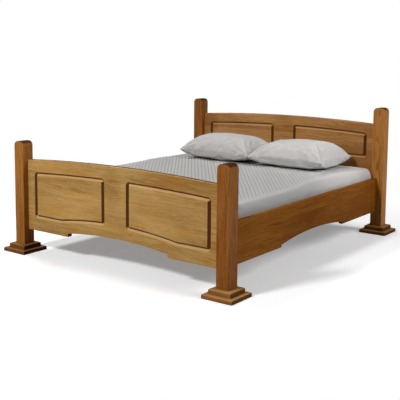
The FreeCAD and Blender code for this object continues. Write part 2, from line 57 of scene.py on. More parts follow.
def make_camera():
    cy, sy = math.cos(CAMERA_YAW), math.sin(CAMERA_YAW)
    cp, sp = math.cos(CAMERA_PITCH), math.sin(CAMERA_PITCH)
    cr, sr = math.cos(CAMERA_ROLL), math.sin(CAMERA_ROLL)
    forward = np.array([-sy * cp, cy * cp, -sp])
    level = np.array([cy, sy, 0.0])
    upright = np.cross(level, forward)
    right = cr * level + sr * upright
    up = -sr * level + cr * upright
    data = bpy.data.cameras.new("photo_camera")
    data.sensor_width = CAMERA_SENSOR
    data.lens = CAMERA_LENS
    data.shift_x, data.shift_y = CAMERA_SHIFT
    data.clip_end = 200.0
    camera = bpy.data.objects.new("photo_camera", data)
    bpy.context.scene.collection.objects.link(camera)
    columns = zip(right, up, -forward, CAMERA_PLACE)
    camera.matrix_world = Matrix([list(row) for row in columns] + [[0, 0, 0, 1]])
    bpy.context.scene.camera = camera


make_camera()


# ---------------------------------------------------------------- node helpers
class Nodes:
    """A small wrapper that makes shader nodes and links them in one call."""

    def __init__(self, name):
        self.material = bpy.data.materials.new(name)
        self.material.use_nodes = True
        self.tree = self.material.node_tree
        self.tree.nodes.clear()

    def add(self, kind, inputs=None, **settings):
        node = self.tree.nodes.new("ShaderNode" + kind)
        for key, value in settings.items():
            setattr(node, key, value)
        for key, value in (inputs or {}).items():
            socket = node.inputs[key]
            if isinstance(value, bpy.types.NodeSocket):
                self.tree.links.new(value, socket)
            else:
                socket.default_value = value
        return node

    def math(self, operation, a, b=0.0, c=None, clamp=False):
        inputs = {0: a, 1: b}
        if c is not None:
            inputs[2] = c
        return self.add("Math", inputs, operation=operation, use_clamp=clamp).outputs[0]

    def mix(self, factor, a, b, blend="MIX"):
        node = self.add("Mix", data_type="RGBA", blend_type=blend)
        for socket, value in ((node.inputs[0], factor), (node.inputs[6], a), (node.inputs[7], b)):
            if isinstance(value, bpy.types.NodeSocket):
                self.tree.links.new(value, socket)
            else:
                socket.default_value = value
        return node.outputs[2]

    def span(self, value, start, stop, low=0.0, high=1.0, kind="LINEAR"):
        """Takes start..stop to low..high, and holds the ends."""
        return self.add("MapRange", {0: value, 1: start, 2: stop, 3: low, 4: high},
                        interpolation_type=kind).outputs[0]

    def ramp(self, factor, stops):
        node = self.add("ValToRGB", {0: factor})
        ramp = node.color_ramp
        while len(ramp.elements) < len(stops):
            ramp.elements.new(0.5)
        for element, (place, colour) in zip(ramp.elements, stops):
            element.position = place
            element.color = (*colour, 1.0)
        return node.outputs[0]

    def noise(self, vector, scale, detail=2.0, rough=0.5, out=0, distortion=0.0):
        node = self.add("TexNoise", {"Vector": vector, "Scale": scale, "Detail": detail,
                                     "Roughness": rough, "Distortion": distortion})
        return node.outputs[out]

    def scaled(self, vector, factors, offset=(0, 0, 0)):
        return self.add("Mapping", {"Vector": vector, "Scale": factors, "Location": offset}).outputs[0]

    def bump(self, height, distance, strength=1.0, normal=None):
        inputs = {"Height": height, "Distance": distance, "Strength": strength}
        if normal is not None:
            inputs["Normal"] = normal
        return self.add("Bump", inputs).outputs[0]

    def surface(self, shader):
        out = self.add("OutputMaterial")
        self.tree.links.new(shader, out.inputs["Surface"])
        return self.material


def srgb(r, g, b):
    """8-bit display colour to scene-linear."""
    return tuple((c / 255 / 12.92) if c <= 10 else ((c / 255 + 0.055) / 1.055) ** 2.4 for c in (r, g, b))


# ---------------------------------------------------------------- wood
# painted highlight colour, laid on the up-facing groove slopes and on the rounded upper edges
PAINTED_HIGHLIGHT = srgb(214, 176, 122) + (1.0,)
# layers of the grain: cycles per metre along and across the fibres, detail, roughness, weight in the tone
FIBRE = (6.0, 200.0, 4.0, 0.65, 1.25)
SPECKLE = (45.0, 240.0, 3.0, 0.6, 0.60)
STREAK = (2.2, 75.0, 3.0, 0.55, 0.70)
BAND = (1.0, 28.0, 3.0, 0.6, 0.50)
BROAD = (1.5, 4.5, 2.0, 0.5, 1.0)
EARLY_WOOD_WEIGHT = 0.22
RING_WIDTH = 0.007
# dark tint for painted shade in the grooves, where some stain also builds up, and on the boards' top edges
SHADE_AND_STAIN_TINT = (0.34, 0.17, 0.10)
FACE_LIMIT = 0.002


def wood(name, grain, seed, colours, stave=0.0, end_tone=0.35, rough=0.5, figure=1.0,
         specular=0.12, groove=None, drift=None, patches=(), edge_highlight=0.0):
    """Sawn timber: growth rings cut through a solid field, fibres, pores, staves and darker end grain."""
    light, middle, dark = colours
    n = Nodes(name)
    coords = n.add("TexCoord")
    x, y, z = n.add("SeparateXYZ", {0: coords.outputs["Object"]}).outputs
    along, side_a, side_b = {"X": (x, y, z), "Y": (y, x, z), "Z": (z, x, y)}[grain]
    tone_shift = None
    if stave:
        # glued-up staves: each has its own run of grain and a slightly different tone
        number = n.math("FLOOR", n.math("DIVIDE", n.math("ADD", z, seed * 0.37), stave))
        pick = n.add("TexWhiteNoise", {"W": n.math("ADD", number, seed)}, noise_dimensions="1D")
        pick = pick.outputs["Value"]
        along = n.math("MULTIPLY_ADD", pick, 9.0, along)
        side_a = n.math("MULTIPLY_ADD", pick, 0.9, side_a)
        tone_shift = n.math("MULTIPLY", n.math("SUBTRACT", pick, 0.5), 0.16)
    point = n.add("CombineXYZ", {0: along, 1: side_a, 2: side_b}).outputs[0]
    point = n.scaled(point, (1, 1, 1), (seed * 1.7, seed * 0.31, seed * 0.53))

    # the fibres wander slowly, so flat faces show long arches of rings
    wave = n.noise(n.scaled(point, (1.3, 5.0, 5.0)), 1.0, out="Color")
    wave = n.add("VectorMath", {0: wave, 1: (0.0, 0.11, 0.11)}, operation="MULTIPLY").outputs[0]
    bent = n.add("VectorMath", {0: point, 1: wave}, operation="ADD").outputs[0]
    cut = n.add("SeparateXYZ", {0: bent}).outputs
    heart_a, heart_b = 0.10 + 0.025 * (seed % 3), 0.06
    radius = n.math("SQRT", n.math("ADD", n.math("POWER", n.math("ADD", cut[1], heart_a), 2.0),
                                   n.math("POWER", n.math("ADD", cut[2], heart_b), 2.0)))
    rings = n.math("FRACT", n.math("DIVIDE", radius, RING_WIDTH))
    early = n.span(rings, 0.55, 1.0, kind="SMOOTHSTEP")
    tone = 0.5
    noises = []
    for layer, strength, field in ((FIBRE, figure, bent), (SPECKLE, figure, bent), (STREAK, figure, bent),
                                   (BAND, figure, bent), (BROAD, 1.0, point)):
        lengthwise, crosswise, detail, fineness, weight = layer
        noises.append(n.noise(n.scaled(field, (lengthwise, crosswise, crosswise)), 1.0, detail, fineness))
        tone = n.math("MULTIPLY_ADD", n.math("SUBTRACT", noises[-1], 0.5), weight * strength, tone)
    fibre = noises[0]
    tone = n.math("MULTIPLY_ADD", n.math("SUBTRACT", early, 0.30), EARLY_WOOD_WEIGHT * figure, tone)
    if tone_shift is not None:
        tone = n.math("ADD", tone, tone_shift)
    if drift:
        # one end of the piece is darker than the other: painted shade on the footboard, the rails and the
        # posts
        axis, start, stop, amount = drift
        place = (x, y, z)["XYZ".index(axis)]
        tone = n.math("ADD", tone, n.span(place, start, stop, 0.0, amount, "SMOOTHSTEP"))
    for centre_x, centre_z, reach_x, reach_z, amount in patches:
        # places on the front face that are darker or lighter: uneven stain, and painted shade at the
        # footboard's upper right and the headboard's lower right
        away = n.math("ADD", n.math("POWER", n.math("DIVIDE", n.math("SUBTRACT", x, centre_x), reach_x), 2.0),
                      n.math("POWER", n.math("DIVIDE", n.math("SUBTRACT", z, centre_z), reach_z), 2.0))
        shift = n.span(away, 0.0, 1.0, amount, 0.0, "SMOOTHSTEP")
        on_front = n.math("LESS_THAN", y, groove[0] + groove[1] + FACE_LIMIT)
        tone = n.math("MULTIPLY_ADD", shift, on_front, tone)
    colour = n.ramp(tone, [(0.12, light), (0.5, middle), (0.88, dark)])
    # the stain took unevenly: some runs are warmer than others
    warmth = n.noise(n.scaled(point, (3.1, 9.0, 9.0), (4.7, 1.9, 8.3)), 1.0, 3.0, 0.55)
    warmth = n.span(warmth, 0.44, 0.66)
    colour = n.mix(n.math("MULTIPLY", warmth, 0.75), colour, (1.0, 0.84, 0.60, 1.0), blend="MULTIPLY")

    # open pores: short dark dashes along the grain, most in the early wood
    pores = n.noise(n.scaled(bent, (26.0, 680.0, 680.0)), 1.0, 2.0, 0.5)
    pores = n.span(pores, 0.58, 0.68)
    pore_amount = n.math("MULTIPLY", pores, n.math("MULTIPLY_ADD", early, 0.5, 0.16))
    colour = n.mix(pore_amount, colour, tuple(c * 0.40 for c in dark) + (1.0,))

    # end grain drinks more finish and turns dark
    facing = n.add("SeparateXYZ", {0: coords.outputs["Normal"]}).outputs
    end = n.span(n.math("ABSOLUTE", facing["XYZ".index(grain)]), 0.22, 0.80, kind="SMOOTHSTEP")
    end_colour = n.mix(early, tuple(c * end_tone for c in dark) + (1.0,),
                       tuple(c * end_tone * 0.6 for c in dark) + (1.0,))
    colour = n.mix(n.math("MULTIPLY", end, 0.92), colour, end_colour)

    if groove:
        # painted shade in the routed grooves on the slopes that don't face up, with some stain build-up
        # there, and a painted highlight on the slopes that face up
        front, depth, strength = groove
        inside = n.math("MULTIPLY", n.span(y, front + 0.0003, front + 0.0014),
                        n.math("LESS_THAN", y, front + depth + FACE_LIMIT))
        upward = n.span(facing[2], 0.15, 0.45)
        tilt = n.span(n.math("ABSOLUTE", facing[1]), 0.80, 0.97, 1.0, 0.35)
        groove_shade_and_stain = n.math("MULTIPLY", n.math("MULTIPLY", inside, n.math("SUBTRACT", 1.0, upward)), tilt)
        shade_and_stain_colour = tuple(c * f for c, f in zip(dark, SHADE_AND_STAIN_TINT)) + (1.0,)
        colour = n.mix(n.math("MULTIPLY", groove_shade_and_stain, 0.92 * strength), colour, shade_and_stain_colour)
        # painted highlight on the groove slopes that face up
        groove_highlight = n.math("MULTIPLY", n.math("MULTIPLY", inside, upward), 0.45 * strength)
        colour = n.mix(groove_highlight, colour, PAINTED_HIGHLIGHT)
        # painted shade on the board's upward-facing top edge
        top_face_shade = n.span(facing[2], 0.86, 0.97)
        colour = n.mix(n.math("MULTIPLY", top_face_shade, 0.85), colour, shade_and_stain_colour)
    if edge_highlight:
        # painted highlight on the upward-facing rounded edges and ledges
        edge = n.span(facing[2], 0.12, 0.50)
        colour = n.mix(n.math("MULTIPLY", edge, edge_highlight), colour, PAINTED_HIGHLIGHT)

    height = n.math("MULTIPLY_ADD", fibre, 0.35, n.math("MULTIPLY", pore_amount, -1.0))
    roughness = n.math("MULTIPLY_ADD", fibre, 0.16, rough - 0.08)
    roughness = n.math("MULTIPLY_ADD", end, 0.3, roughness, clamp=True)
    shader = n.add("BsdfPrincipled", {"Base Color": colour, "Roughness": roughness,
                                      "Normal": n.bump(height, 0.0004, 0.5)})
    shader.inputs["Specular IOR Level"].default_value = specular
    return n.surface(shader.outputs[0])


def shades(r, g, b, spread=0.24):
    """Light, middle and dark tones of a wood whose mean shows as this display colour."""
    middle = srgb(r, g, b)
    light = tuple(c * (1 + spread) + 0.012 for c in middle)
    dark = (middle[0] * (1 - 1.35 * spread), middle[1] * (1 - 1.75 * spread), middle[2] * (1 - 2.4 * spread))
    return light, middle, dark


PINE = shades(206, 168, 112, 0.16)
BEECH = shades(208, 164, 116, 0.12)
# the boards' front faces: their y, how deep the grooves are cut, how strongly the painted shade and highlight
# are laid on in the grooves
BOARD_FRONT = {"footboard": (-1.029, 0.011, 1.0), "headboard": (1.025, 0.011, 0.75)}
# patches of darker or lighter tone on a front face, from uneven stain and from painted shade: middle x and z,
# reach in x and z, change of tone
BOARD_PATCHES = {
    # the first footboard patch darkens the upper right: painted shade where the light falls off
    "footboard": ((0.55, 0.62, 0.50, 0.09, 0.26), (-0.03, 0.52, 0.11, 0.16, 0.28),
                  (-0.45, 0.33, 0.30, 0.10, -0.18), (0.35, 0.32, 0.30, 0.10, -0.14),
                  (-0.30, 0.18, 0.60, 0.06, 0.12)),
    # the first headboard patch darkens the lower right: the right pillow's painted shadow
    "headboard": ((0.62, 0.52, 0.40, 0.17, 0.75), (-0.75, 0.80, 0.12, 0.30, 0.30),
                  (0.0, 0.75, 0.12, 0.20, 0.15)),
}
# tone, change of tone up the post (a negative change makes the post darker towards the bottom: painted
# shade), tone of its plinth, how strongly the painted highlight is laid on the plinth's upper edges
POST_TONES = {
    "foot_left": ((152, 98, 38), -0.26, (112, 70, 30), 0.10),
    "foot_right": ((134, 82, 29), -0.10, (146, 98, 46), 0.30),
    "head_left": ((134, 82, 30), 0.0, (130, 82, 34), 0.30),
    "head_right": ((155, 103, 45), -0.12, (132, 84, 34), 0.25),
}


def dress(node, material):
    mesh = nodes[node].data
    mesh.materials.clear()
    mesh.materials.append(material)


def dress_timber():
    # the footboard darkens towards its right end: painted shade where the light falls off
    dress("footboard", wood("oak_footboard", "X", 1.0, shades(176, 138, 77), stave=0.104, specular=0.20,
                            groove=BOARD_FRONT["footboard"], drift=("X", 0.1, 0.8, 0.14),
                            patches=BOARD_PATCHES["footboard"]))
    dress("headboard", wood("oak_headboard", "X", 2.0, shades(168, 122, 69), stave=0.112, specular=0.20,
                            groove=BOARD_FRONT["headboard"], patches=BOARD_PATCHES["headboard"]))
    for number, side in enumerate(("left", "right")):
        # the rails darken towards the head end: painted shade
        dress(side + "_rail", wood("oak_%s_rail" % side, "Y", 3.0 + number, shades(134, 83, 25), stave=0.13,
                                   specular=0.03, rough=0.6, drift=("Y", -0.7, 0.5, 0.33)))
    number = 5.0
    for corner, (tone, climb, plinth_tone, edge_highlight) in POST_TONES.items():
        # most posts darken towards the bottom: painted shade
        dress(corner + "_post", wood("oak_%s_post" % corner, "Z", number, shades(*tone), specular=0.08,
                                     figure=1.7, end_tone=0.20, drift=("Z", 0.2, 0.75, climb)))
        # the plinths get a painted highlight on their upper edges
        for tier in ("lower", "upper"):
            number += 1.0
            dress("%s_plinth_%s" % (corner, tier),
                  wood("oak_%s_plinth_%s" % (corner, tier), "X", number, shades(*plinth_tone), end_tone=0.6,
                       specular=0.08, edge_highlight=edge_highlight))
        number += 1.0
    pine_x = [wood("pine_slat_%d" % i, "X", 20.0 + i, PINE, end_tone=0.8) for i in range(3)]
    for i in range(1, 15):
        dress("slat_%02d" % i, pine_x[i % 3])
    pine_y = wood("pine_long", "Y", 30.0, PINE, end_tone=0.8)
    for node in ("left_cleat", "right_cleat", "centre_beam"):
        dress(node, pine_y)
    dress("centre_leg", wood("pine_leg", "Z", 31.0, PINE, end_tone=0.8))
    dress("centre_leg_dowel", wood("beech_dowel", "Z", 32.0, BEECH, end_tone=0.8))


def metal(name, colour, rough, brushed="Y"):
    n = Nodes(name)
    coords = n.add("TexCoord").outputs["Object"]
    stretch = {"X": (20, 900, 900), "Y": (900, 20, 900), "Z": (900, 900, 20)}[brushed]
    scratch = n.noise(n.scaled(coords, stretch), 1.0, 3.0, 0.6)
    cloud = n.noise(coords, 45.0, 3.0, 0.6)
    tint = n.mix(n.math("MULTIPLY_ADD", cloud, 0.5, 0.1), tuple(colour) + (1.0,),
                 tuple(c * 0.72 for c in colour) + (1.0,))
    shader = n.add("BsdfPrincipled", {"Base Color": tint, "Metallic": 1.0,
                                      "Roughness": n.math("MULTIPLY_ADD", scratch, 0.25, rough),
                                      "Normal": n.bump(scratch, 0.0001, 0.4)})
    return n.surface(shader.outputs[0])


def plastic(name, colour):
    n = Nodes(name)
    coords = n.add("TexCoord").outputs["Object"]
    grain = n.noise(coords, 700.0, 2.0, 0.6)
    tint = n.mix(n.noise(coords, 60.0), tuple(colour) + (1.0,), tuple(c * 0.8 for c in colour) + (1.0,))
    rough = n.math("MULTIPLY_ADD", grain, 0.2, 0.42)
    shader = n.add("BsdfPrincipled", {"Base Color": tint, "Roughness": rough,
                                      "Normal": n.bump(grain, 0.0001, 0.4)})
    return n.surface(shader.outputs[0])


def dress_fittings():
    steel = metal("zinc_plate", (0.62, 0.63, 0.62), 0.28, "Z")
    screws = metal("zinc_screw", (0.66, 0.62, 0.50), 0.25, "Z")
    for name in nodes:
        if name.endswith("_plate") or name.endswith("_hanger"):
            dress(name, steel)
        elif name.endswith("_screws"):
            dress(name, screws)
    dress("centre_leg_glide", plastic("glide_black", (0.03, 0.03, 0.032)))


dress_timber()
dress_fittings()


# ---------------------------------------------------------------- cloth materials
COVER_COLOUR = (0.425, 0.418, 0.408)
PILLOW_COLOUR = (0.458, 0.446, 0.436)
THREAD = 0.0011
# the lozenges of the quilting: pitch across and along the bed, depth of the sewn lines, half width and
# half length of the quilted panel, and how far its edge sways, with how many radians per metre
QUILT_X = 0.0312
QUILT_Y = 0.0418
QUILT_DEPTH = 0.0055
QUILT_REACH = (0.735, 0.93)
QUILT_SWAY = (0.02, 4.3)
# the swelling at the left edge: middle x and y, reach in x and y, rise
BULGE = (-0.71, 0.22, 0.10, 0.38, 0.015)


def cotton(name, colour, crease=True, quilt=False):
    """Plain woven cotton, with fine creases, or with the painted shade of a quilted panel."""
    n = Nodes(name)
    coords = n.add("TexCoord").outputs["Object"]
    split = n.add("SeparateXYZ", {0: coords}).outputs
    turns = 2 * math.pi / THREAD
    warp = n.math("SINE", n.math("MULTIPLY", split[0], turns))
    weft = n.math("SINE", n.math("MULTIPLY", split[1], turns))
    weave = n.math("MULTIPLY", warp, weft)
    slub = n.noise(n.scaled(coords, (30, 260, 60)), 1.0, 3.0, 0.6)
    cloud = n.noise(coords, 7.0, 3.0, 0.6)
    tint = n.mix(n.math("MULTIPLY_ADD", cloud, 0.5, n.math("MULTIPLY", slub, 0.3)), tuple(colour) + (1.0,),
                 tuple(c * f for c, f in zip(colour, (0.9, 0.895, 0.89))) + (1.0,))
    if quilt:
        # painted shade in the sewn valleys of the quilted panel
        centre = (np.array(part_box("mattress")[0]) + np.array(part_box("mattress")[1])) / 2
        across = n.math("DIVIDE", split[0], QUILT_X)
        along = n.math("DIVIDE", n.math("SUBTRACT", split[1], float(centre[1])), QUILT_Y)
        lines = [n.math("ABSOLUTE", n.math("SINE", n.math("MULTIPLY", n.math(kind, across, along), math.pi)))
                 for kind in ("ADD", "SUBTRACT")]
        valley_shade = n.span(n.math("MINIMUM", *lines), 0.05, 0.75, 1.0, 0.0)
        sway = n.math("MULTIPLY", n.math("SINE", n.math("MULTIPLY", split[1], QUILT_SWAY[1])), QUILT_SWAY[0])
        panel = n.span(n.math("ADD", n.math("ABSOLUTE", split[0]), sway), QUILT_REACH[0] - 0.05,
                       QUILT_REACH[0] + 0.01, 1.0, 0.0)
        ends = n.math("ABSOLUTE", n.math("SUBTRACT", split[1], float(centre[1])))
        panel = n.math("MULTIPLY", panel, n.span(ends, QUILT_REACH[1] - 0.03, QUILT_REACH[1], 1.0, 0.0))
        upward = n.math("GREATER_THAN", split[2], float(centre[2]))
        valley_shade = n.math("MULTIPLY", n.math("MULTIPLY", valley_shade, panel), upward)
        tint = n.mix(n.math("MULTIPLY", valley_shade, 0.85), tint, tuple(c * 0.58 for c in colour) + (1.0,))
    height = n.math("MULTIPLY_ADD", weave, 0.3, slub)
    normal = n.bump(height, 0.0003, 0.35)
    if crease:
        fine = n.noise(n.scaled(coords, (9, 16, 9)), 1.0, 4.0, 0.6, distortion=0.6)
        normal = n.bump(fine, 0.004, 0.5, normal)
    shader = n.add("BsdfPrincipled", {"Base Color": tint, "Roughness": 0.86, "Normal": normal})
    shader.inputs["Sheen Weight"].default_value = 0.05
    shader.inputs["Sheen Roughness"].default_value = 0.5
    shader.inputs["Specular IOR Level"].default_value = 0.08
    return n.surface(shader.outputs[0])


# ---------------------------------------------------------------- mesh helpers
def new_object(name, vertices, faces, smooth=True):
    mesh = bpy.data.meshes.new(name)
    mesh.from_pydata([tuple(v) for v in vertices], [], faces)
    mesh.validate()
    mesh.update()
    if smooth:
        mesh.polygons.foreach_set("use_smooth", [True] * len(mesh.polygons))
    piece = bpy.data.objects.new(name, mesh)
    bpy.context.scene.collection.objects.link(piece)
    return piece


def smooth_noise(points, scale, seed, octaves=2):
    """Deterministic smooth noise in -1..1 from sums of sines."""
    rng = np.random.default_rng(seed)
    total = np.zeros(len(points))
    weight = 0.0
    for octave in range(octaves):
        for _ in range(6):
            direction = rng.normal(size=points.shape[1])
            direction /= np.linalg.norm(direction)
            k = direction * scale * (2.0 ** octave) * rng.uniform(0.6, 1.5)
            total += np.sin(points @ k + rng.uniform(0, 2 * math.pi)) / (1.6 ** octave)
            weight += 1.0 / (1.6 ** octave)
    return total / math.sqrt(weight)


def smoothstep(edge0, edge1, value):
    t = np.clip((value - edge0) / (edge1 - edge0), 0, 1)
    return t * t * (3 - 2 * t)


# ---------------------------------------------------------------- mattress
UPRIGHT_CORNER = 0.060
BOTTOM_ROUND = 0.014
TOP_ROUND = (0.034, 0.034)
CROWN = 0.009
SEAM_DROP = 0.0025


def make_mattress():
    """The filled cover: a rounded box of grids with a crown, quilting, folds and sagging sides."""
    low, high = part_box("mattress")
    low, high = np.array(low), np.array(high)
    centre = (low + high) / 2
    half = (high - low) / 2
    nx, ny, nz = round(12 * half[0] / QUILT_X), round(16 * half[1] / QUILT_Y), 22
    # A box of grids, rounded afterwards
    xs = np.linspace(-half[0], half[0], nx + 1)
    ys = np.linspace(-half[1], half[1], ny + 1)
    zs = np.linspace(-half[2], half[2] - CROWN, nz + 1)
    index = {}
    points = []

    def at(i, j, k):
        key = (i, j, k)
        if key not in index:
            index[key] = len(points)
            points.append((xs[i], ys[j], zs[k]))
        return index[key]

    faces = []
    for i in range(nx):
        for j in range(ny):
            faces.append((at(i, j, nz), at(i + 1, j, nz), at(i + 1, j + 1, nz), at(i, j + 1, nz)))
            faces.append((at(i, j, 0), at(i, j + 1, 0), at(i + 1, j + 1, 0), at(i + 1, j, 0)))
    for k in range(nz):
        for i in range(nx):
            faces.append((at(i, 0, k), at(i + 1, 0, k), at(i + 1, 0, k + 1), at(i, 0, k + 1)))
            faces.append((at(i, ny, k), at(i, ny, k + 1), at(i + 1, ny, k + 1), at(i + 1, ny, k)))
        for j in range(ny):
            faces.append((at(0, j, k), at(0, j, k + 1), at(0, j + 1, k + 1), at(0, j + 1, k)))
            faces.append((at(nx, j, k), at(nx, j + 1, k), at(nx, j + 1, k + 1), at(nx, j, k + 1)))
    p = np.array(points)
    # round the four upright corners
    q = p[:, :2]
    inner = half[:2] - UPRIGHT_CORNER
    core = np.clip(q, -inner, inner)
    away = q - core
    reach = np.abs(away).max(1)
    length = np.linalg.norm(away, axis=1)
    both = (np.abs(away) > 1e-9).all(1)
    scale = np.where(both, reach / np.maximum(length, 1e-9), 1.0)
    q = core + away * scale[:, None]
    # distance to the outline, for the rounded rims
    gap = UPRIGHT_CORNER - np.linalg.norm(q - core, axis=1)
    inside = np.where((np.abs(away) < 1e-9).all(1),
                      np.minimum(half[0] - np.abs(q[:, 0]), half[1] - np.abs(q[:, 1])), gap)
    z = p[:, 2]
    top = half[2] - CROWN
    upper = z > 0
    # the cover rolls over more softly on the right, where it was sat on
    top_round = TOP_ROUND[0] + TOP_ROUND[1] * smoothstep(-0.4, 0.6, q[:, 0])
    rim = np.where(upper, top_round, BOTTOM_ROUND)
    level = np.where(upper, top - z, z + half[2])
    # a point on the box is pulled onto the quarter round where both distances are under the radius
    a = rim - inside
    b = rim - level
    corner_zone = (a > 0) & (b > 0)
    stretch = np.maximum(a, b) / np.maximum(np.hypot(a, b), 1e-9)
    pull_a = np.where(corner_zone, a * (1 - stretch), 0.0)
    pull_b = np.where(corner_zone, b * (1 - stretch), 0.0)
    nearer_side = half[0] - np.abs(q[:, 0]) < half[1] - np.abs(q[:, 1])
    straight = np.stack([np.where(nearer_side, np.sign(q[:, 0]), 0),
                         np.where(nearer_side, 0, np.sign(q[:, 1]))], 1)
    outward = np.where((np.abs(away) < 1e-9).all(1)[:, None], straight,
                       away / np.maximum(np.linalg.norm(away, axis=1), 1e-9)[:, None])
    q = q - outward * pull_a[:, None]
    z = z - np.where(upper, 1, -1) * pull_b
    on_top = smoothstep(top - top_round * 1.1, top - 0.0005, z)
    # the crown of the filling
    dome = (1 - (q[:, 0] / half[0]) ** 4) * (1 - (q[:, 1] / half[1]) ** 4)
    z = z + CROWN * dome * on_top
    # quilting on the top panel: rows of raised lozenges with sewn valleys between
    u = q[:, 0] / QUILT_X + q[:, 1] / QUILT_Y
    v = q[:, 0] / QUILT_X - q[:, 1] / QUILT_Y
    puff = np.minimum(np.abs(np.sin(math.pi * u)), np.abs(np.sin(math.pi * v))) ** 0.5
    swayed = np.abs(q[:, 0]) + QUILT_SWAY[0] * np.sin(q[:, 1] * QUILT_SWAY[1])
    panel = (smoothstep(QUILT_REACH[0] + 0.025, QUILT_REACH[0] - 0.035, swayed)
             * smoothstep(QUILT_REACH[1] + 0.02, QUILT_REACH[1] - 0.015, np.abs(q[:, 1])))
    z = z + QUILT_DEPTH * (puff - 1.0) * on_top * panel
    # the plain border is drawn down a little where it is sewn to the panel
    seam = np.exp(-((np.abs(q[:, 0]) - QUILT_REACH[0]) / 0.008) ** 2) * (np.abs(q[:, 1]) < QUILT_REACH[1])
    z = z - SEAM_DROP * seam * on_top
    # soft unevenness of the cover, with long folds towards the sides
    fade = on_top * smoothstep(0.012, 0.06, inside)
    low_wave = smooth_noise(q, 5.0, 4, 2)
    folds = smooth_noise(q * (1.0, 0.30), 16.0, 9, 2) * smoothstep(0.45, 0.78, np.abs(q[:, 0]))
    cross = smooth_noise(q @ np.array([[0.8, -0.6], [0.6, 0.8]]) * (1.0, 0.35), 20.0, 31, 2)
    z = z + (0.0036 * low_wave + 0.0030 * folds + 0.0022 * cross - 0.004) * fade
    x0, y0, spread_x, spread_y, rise = BULGE
    swelling = np.exp(-((q[:, 0] - x0) / spread_x) ** 2 - ((q[:, 1] + centre[1] - y0) / spread_y) ** 2)
    z = z + rise * swelling * fade
    # the sides sag in and out like a filled cover
    side = np.exp(-((z - half[2] * 0.25) / (half[2] * 0.6)) ** 2) * (1 - on_top) * (z > -half[2] * 0.9)
    ripple = smooth_noise(np.column_stack([q, z * 2.0]), 13.0, 14, 3)
    q = q + outward * (0.0045 * ripple * side)[:, None]
    return new_object("mattress_cover", np.column_stack([q, z]) + centre, faces)


mattress = make_mattress()
mattress.data.materials.append(cotton("quilted_cover", COVER_COLOUR, crease=False, quilt=True))
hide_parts("mattress")
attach(mattress, "mattress")


# ---------------------------------------------------------------- pillows
def pillow_mesh(name, width, depth, nx, ny, seed):
    """Two panels sewn round the edge, a few millimetres apart at the middle."""
    faces = []
    index = {}
    points = []
    for layer in (1, -1):
        for i in range(nx + 1):
            for j in range(ny + 1):
                edge = i in (0, nx) or j in (0, ny)
                key = (i, j, 0 if edge else layer)
                if key in index:
                    continue
                index[key] = len(points)
                s, t = 2 * i / nx - 1, 2 * j / ny - 1
                lift = 0.0 if edge else 0.012 * layer * (1 - s * s) * (1 - t * t) + 0.003 * layer
                points.append((s * width / 2, t * depth / 2, lift))
    for layer in (1, -1):
        for i in range(nx):
            for j in range(ny):
                keys = []
                for a, b in [(i, j), (i + 1, j), (i + 1, j + 1), (i, j + 1)]:
                    edge = a in (0, nx) or b in (0, ny)
                    keys.append(index[(a, b, 0 if edge else layer)])
                faces.append(tuple(keys if layer == 1 else keys[::-1]))
    p = np.array(points)
    p[:, 2] += 0.002 * smooth_noise(p[:, :2], 26.0, seed, 3)
    return new_object(name, p, faces)


def inflate(piece, volume, bending):
    """Fill the sewn case to a volume with Blender's cloth, lying on a flat ground."""
    scene = bpy.context.scene
    cloth = piece.modifiers.new("cloth", "CLOTH")
    settings = cloth.settings
    settings.quality = 6
    settings.mass = 0.01
    settings.air_damping = 1.0
    settings.tension_stiffness = 10.0
    settings.compression_stiffness = 10.0
    settings.shear_stiffness = 3.5
    settings.bending_stiffness = bending
    settings.use_pressure = True
    settings.uniform_pressure_force = 0.0
    settings.use_pressure_volume = True
    settings.target_volume = volume
    settings.pressure_factor = 5.0
    settings.effector_weights.gravity = 0.01
    cloth.collision_settings.use_collision = True
    cloth.point_cache.frame_start = 1
    cloth.point_cache.frame_end = CLOTH_FRAMES + 1
    corners = [(-1, -1), (1, -1), (1, 1), (-1, 1)]
    ground = new_object(piece.name + "_ground", [(x, y, GROUND_HEIGHT) for x, y in corners], [(0, 1, 2, 3)],
                        smooth=False)
    ground.modifiers.new("collision", "COLLISION")
    ground.collision.thickness_outer = 0.004
    scene.frame_start = 1
    scene.frame_end = CLOTH_FRAMES + 1
    for number in range(1, CLOTH_FRAMES + 1):
        scene.frame_set(number)
    graph = bpy.context.evaluated_depsgraph_get()
    done = bpy.data.meshes.new_from_object(piece.evaluated_get(graph))
    co = np.zeros(len(done.vertices) * 3)
    done.vertices.foreach_get("co", co)
    bpy.data.meshes.remove(done)
    piece.modifiers.remove(cloth)
    bpy.data.objects.remove(ground)
    scene.frame_set(1)
    return co.reshape(-1, 3)


# the cut of a case before it is filled, and its mesh
PILLOW_CUT = (0.745, 0.545)
PILLOW_GRID = (84, 62)
# how far a filled case hangs under its seam: on the flat mattress, and if it were free
PILLOW_SAG = 0.059
PILLOW_BELLY = 0.066
# how far the seams draw in at the middle of each side
DRAW_IN = 0.020
# the filling: frames, and the height of the ground under the seam
CLOTH_FRAMES = 36
GROUND_HEIGHT = -0.068
# wrinkles under this many rounds of smoothing stay as simulated
RELAX_ROUNDS = 65
TIP_FOLD_HEIGHT = 0.0026
TIP_FOLD_REACH = 0.17
CREASE_HEIGHT = 0.0011
